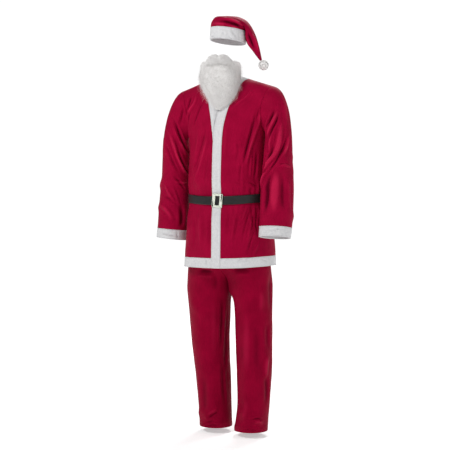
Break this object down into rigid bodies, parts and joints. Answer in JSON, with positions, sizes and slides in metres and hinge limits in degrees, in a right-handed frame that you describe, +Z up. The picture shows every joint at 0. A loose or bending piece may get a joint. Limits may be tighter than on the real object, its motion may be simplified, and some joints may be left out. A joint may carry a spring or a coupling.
{
  "type": "santa suit",
  "caption": "Red felt santa suit held in a worn pose: hat, beard, moustache, belted jacket and trousers",
  "frame": {"origin": "the middle of the jacket's neck opening, where the suit is held", "axes": "+Z up, -Y to the wearer's front, +X to the wearer's left"},
  "size_m": [0.6545, 0.3096, 1.7716],
  "materials": {
    "red_felt": "brushed felt with a low sheen",
    "white_fleece": "short matte fleece",
    "white_fur": "fluffy, matte",
    "black_satin": "satin",
    "pale_buckle": "semi-gloss"
  },
  "bodies": {
    "root": {"hat_crown": "red_felt", "hat_band": "white_fleece", "hat_pompom": "white_fur", "beard": "white_fur", "moustache": "white_fur", "jacket_front_left": "red_felt", "jacket_front_right": "red_felt", "jacket_back": "red_felt", "sleeve_left": "red_felt", "sleeve_right": "red_felt", "cuff_left": "white_fleece", "cuff_right": "white_fleece", "hem_band_left": "white_fleece", "hem_band_right": "white_fleece", "hem_band_back": "white_fleece", "front_trim_left": "white_fleece", "front_trim_right": "white_fleece", "collar_trim": "white_fleece", "belt_strap": "black_satin", "belt_buckle": "pale_buckle", "trouser_leg_left": "red_felt", "trouser_leg_right": "red_felt", "trouser_waistband": "red_felt"}
  },
  "joints": []
}
